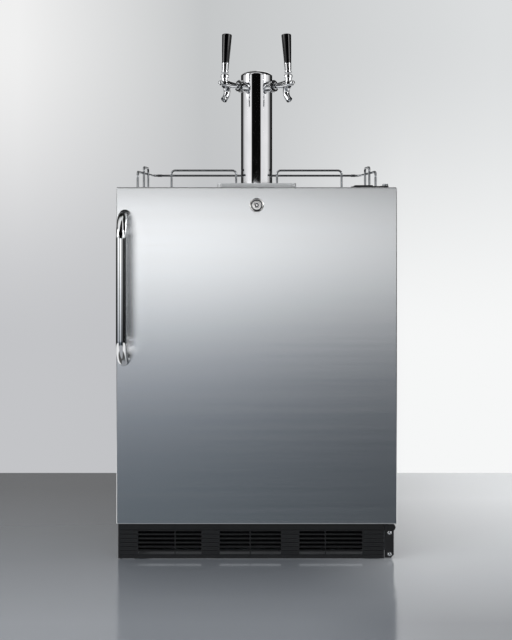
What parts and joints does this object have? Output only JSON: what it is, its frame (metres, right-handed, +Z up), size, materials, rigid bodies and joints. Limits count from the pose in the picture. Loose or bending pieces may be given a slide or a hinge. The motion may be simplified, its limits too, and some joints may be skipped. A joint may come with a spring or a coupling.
{
  "type": "two-tap beer dispenser",
  "caption": "Free-standing refrigerated beer dispenser: steel door with a towel-bar handle and lock, draught column with lever faucets, drip tray and wire guard rail.",
  "frame": {"origin": "at the floor, under the middle of the whole object's width and depth, handle included", "axes": "+X to the right seen from the front, +Y to the back (the door faces -Y), +Z up"},
  "size_m": [0.6, 0.661, 1.1669],
  "materials": {
    "brushed_door": "fine brushed stainless steel",
    "polished_chrome": "mirror polished chrome",
    "polished_tube": "polished stainless tube",
    "rail_wire": "chromed steel wire",
    "bright_screw": "bright zinc plate",
    "black_sheet": "black powder coat, fine texture",
    "black_plastic": "matte black plastic",
    "handle_black": "gloss black plastic",
    "worktop_black": "black textured plastic",
    "galvanised": "galvanised sheet",
    "foam": "rigid polyurethane foam",
    "liner_white": "white moulded polystyrene",
    "seal_black": "soft magnetic seal",
    "foot_black": "black nylon",
    "pin_steel": "turned steel",
    "bush_nylon": "natural nylon",
    "tray_steel": "brushed stainless",
    "lock_zinc": "chromed zinc",
    "compressor_black": "black paint",
    "rubber_black": "moulded rubber",
    "aluminium_fin": "mill finish",
    "evap_aluminium": "roll-bond aluminium",
    "plastic_white": "white plastic",
    "plastic_grey": "grey plastic"
  },
  "bodies": {
    "cabinet": {"cabinet_wrap": "black_sheet", "top_panel": "worktop_black", "back_panel": "black_sheet", "cabinet_foam": "foam", "cabinet_liner": "liner_white", "base_pan": "galvanised", "machine_bulkhead": "galvanised", "kick_grille": "black_plastic", "compressor": "compressor_black", "compressor_mounts": "rubber_black", "condenser": "aluminium_fin", "fan_bracket": "black_plastic", "evaporator": "evap_aluminium", "control_box": "plastic_white", "lower_hinge_bracket": "black_sheet", "lower_hinge_screws": "bright_screw", "upper_hinge_plate": "black_sheet", "upper_hinge_hood": "black_plastic", "hinge_pins": "pin_steel", "lock_keeper": "pin_steel", "column_tube": "polished_tube", "column_cap": "polished_chrome", "column_base": "polished_chrome", "column_lagging": "foam", "beer_lines": "pin_steel", "line_manifold": "tray_steel", "rail_left": "rail_wire", "rail_rear": "rail_wire", "rail_right": "rail_wire", "rail_loops": "rail_wire", "rail_fittings": "rail_wire", "faucet_shanks": "polished_chrome", "coupling_nuts": "polished_chrome", "bonnets": "polished_chrome", "faucet_body_left": "polished_chrome", "faucet_body_right": "polished_chrome"},
    "door": {"door_skin": "brushed_door", "door_foam": "foam", "door_liner": "liner_white", "door_gasket": "seal_black", "hinge_bushings": "bush_nylon", "towel_handle": "polished_chrome", "lock_body": "lock_zinc"},
    "lock": {"lock_plug": "lock_zinc", "lock_cam": "pin_steel"},
    "lever_left": {"lever_left": "polished_chrome", "tap_handle_left": "handle_black"},
    "lever_right": {"lever_right": "polished_chrome", "tap_handle_right": "handle_black"},
    "plunger_left": {"plunger_left": "pin_steel"},
    "plunger_right": {"plunger_right": "pin_steel"},
    "thermostat_knob": {"thermostat_knob": "plastic_grey"},
    "light_switch": {"light_switch": "plastic_grey"},
    "fan_rotor": {"fan_rotor": "plastic_grey"},
    "drip_tray": {"drip_tray": "tray_steel"},
    "drip_grate": {"drip_grate": "tray_steel"},
    "foot_front_left": {"foot_front_left": "foot_black"},
    "foot_front_right": {"foot_front_right": "foot_black"},
    "foot_rear_left": {"foot_rear_left": "foot_black"},
    "foot_rear_right": {"foot_rear_right": "foot_black"}
  },
  "joints": [
    {"name": "door_hinge", "type": "hinge", "parent": "cabinet", "child": "door", "pos_m": [0.278, -0.2425, 0.44], "axis": [0, 0, 1], "range_deg": [0, 120]},
    {"name": "lock_turn", "type": "hinge", "parent": "door", "child": "lock", "pos_m": [0, -0.2665, 0.7614], "axis": [0, -1, 0], "range_deg": [0, 90]},
    {"name": "lever_left_hinge", "type": "hinge", "parent": "cabinet", "child": "lever_left", "pos_m": [-0.07495, -0.05545, 1.0669], "axis": [0.7071, -0.7071, 0], "range_deg": [0, 30]},
    {"name": "plunger_left_slide", "type": "slide", "parent": "cabinet", "child": "plunger_left", "axis": [0.7071, 0.7071, 0], "range_m": [0, 0.0098]},
    {"name": "lever_right_hinge", "type": "hinge", "parent": "cabinet", "child": "lever_right", "pos_m": [0.07495, -0.05545, 1.0669], "axis": [0.7071, 0.7071, 0], "range_deg": [0, 30]},
    {"name": "plunger_right_slide", "type": "slide", "parent": "cabinet", "child": "plunger_right", "axis": [-0.7071, 0.7071, 0], "range_m": [0, 0.0098]},
    {"name": "thermostat_turn", "type": "hinge", "parent": "cabinet", "child": "thermostat_knob", "pos_m": [0.216, -0.1115, 0.718], "axis": [-1, 0, 0], "range_deg": [0, 270]},
    {"name": "light_switch_rock", "type": "hinge", "parent": "cabinet", "child": "light_switch", "pos_m": [0.229, -0.0515, 0.718], "axis": [0, 1, 0], "range_deg": [0, 10]},
    {"name": "fan_spin", "type": "hinge", "parent": "cabinet", "child": "fan_rotor", "pos_m": [-0.12, 0.2485, 0.1], "axis": [1, 0, 0], "continuous": true},
    {"name": "drip_tray_lift", "type": "slide", "parent": "cabinet", "child": "drip_tray", "axis": [0, 0, 1], "range_m": [0, 0.1]},
    {"name": "drip_grate_lift", "type": "slide", "parent": "drip_tray", "child": "drip_grate", "axis": [0, 0, 1], "range_m": [0, 0.05]},
    {"name": "foot_front_left_screw", "type": "slide", "parent": "cabinet", "child": "foot_front_left", "axis": [0, 0, -1], "range_m": [0, 0.015]},
    {"name": "foot_front_right_screw", "type": "slide", "parent": "cabinet", "child": "foot_front_right", "axis": [0, 0, -1], "range_m": [0, 0.015]},
    {"name": "foot_rear_left_screw", "type": "slide", "parent": "cabinet", "child": "foot_rear_left", "axis": [0, 0, -1], "range_m": [0, 0.015]},
    {"name": "foot_rear_right_screw", "type": "slide", "parent": "cabinet", "child": "foot_rear_right", "axis": [0, 0, -1], "range_m": [0, 0.015]}
  ],
  "couplings": [
    {"joint": "plunger_left_slide", "follows": "lever_left_hinge", "m_per_rad": 0.0185},
    {"joint": "plunger_right_slide", "follows": "lever_right_hinge", "m_per_rad": 0.0185}
  ]
}
